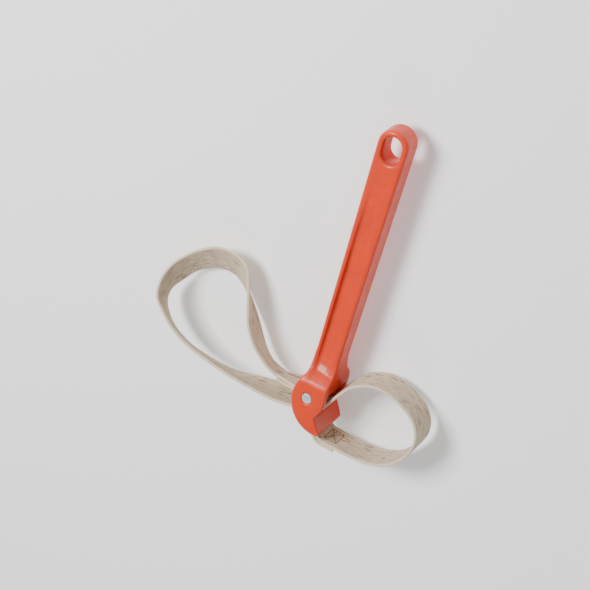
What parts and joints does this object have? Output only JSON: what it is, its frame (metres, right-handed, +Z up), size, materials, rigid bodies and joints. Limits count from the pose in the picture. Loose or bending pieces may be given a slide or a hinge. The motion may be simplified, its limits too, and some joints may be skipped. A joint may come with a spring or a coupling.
{
  "type": "strap wrench",
  "caption": "Strap wrench with a long painted cast handle, a forked head, and woven webbing that makes a small grip loop in front and a long pull loop behind.",
  "frame": {"origin": "on the lower cheek's outer face, below the strap pin", "axes": "+X towards the grip loop, +Y along the handle to its hang eye, +Z up through the width of the head, along the pins"},
  "size_m": [0.2412, 0.2793, 0.04],
  "materials": {
    "paint": "glossy orange-red enamel on a casting",
    "zinc": "bright zinc plate",
    "webbing": "woven natural webbing, matt",
    "thread": "brown sewing thread"
  },
  "bodies": {
    "handle": {"handle": "paint", "anchor_pin": "zinc", "anchor_eye": "webbing", "through_run": "webbing"},
    "pin": {"strap_pin": "zinc"},
    "pull_strap": {"pin_eye": "webbing", "pull_loop": "webbing", "pin_seam": "thread"},
    "grip_strap": {"grip_loop": "webbing", "folded_end": "webbing", "grip_seam": "thread"}
  },
  "joints": [
    {"name": "pin_turn", "type": "hinge", "parent": "handle", "child": "pin", "pos_m": [0, 0.014, 0.02], "axis": [0, 0, 1], "continuous": true},
    {"name": "pull_swing", "type": "hinge", "parent": "handle", "child": "pull_strap", "pos_m": [0, 0.014, 0.02], "axis": [0, 0, 1], "range_deg": [-8, 8], "stiffness_Nm_per_rad": 0.05},
    {"name": "grip_swing", "type": "hinge", "parent": "handle", "child": "grip_strap", "pos_m": [0.0134, -0.021, 0.02], "axis": [0, 0, 1], "range_deg": [-10, 3], "stiffness_Nm_per_rad": 0.05}
  ]
}
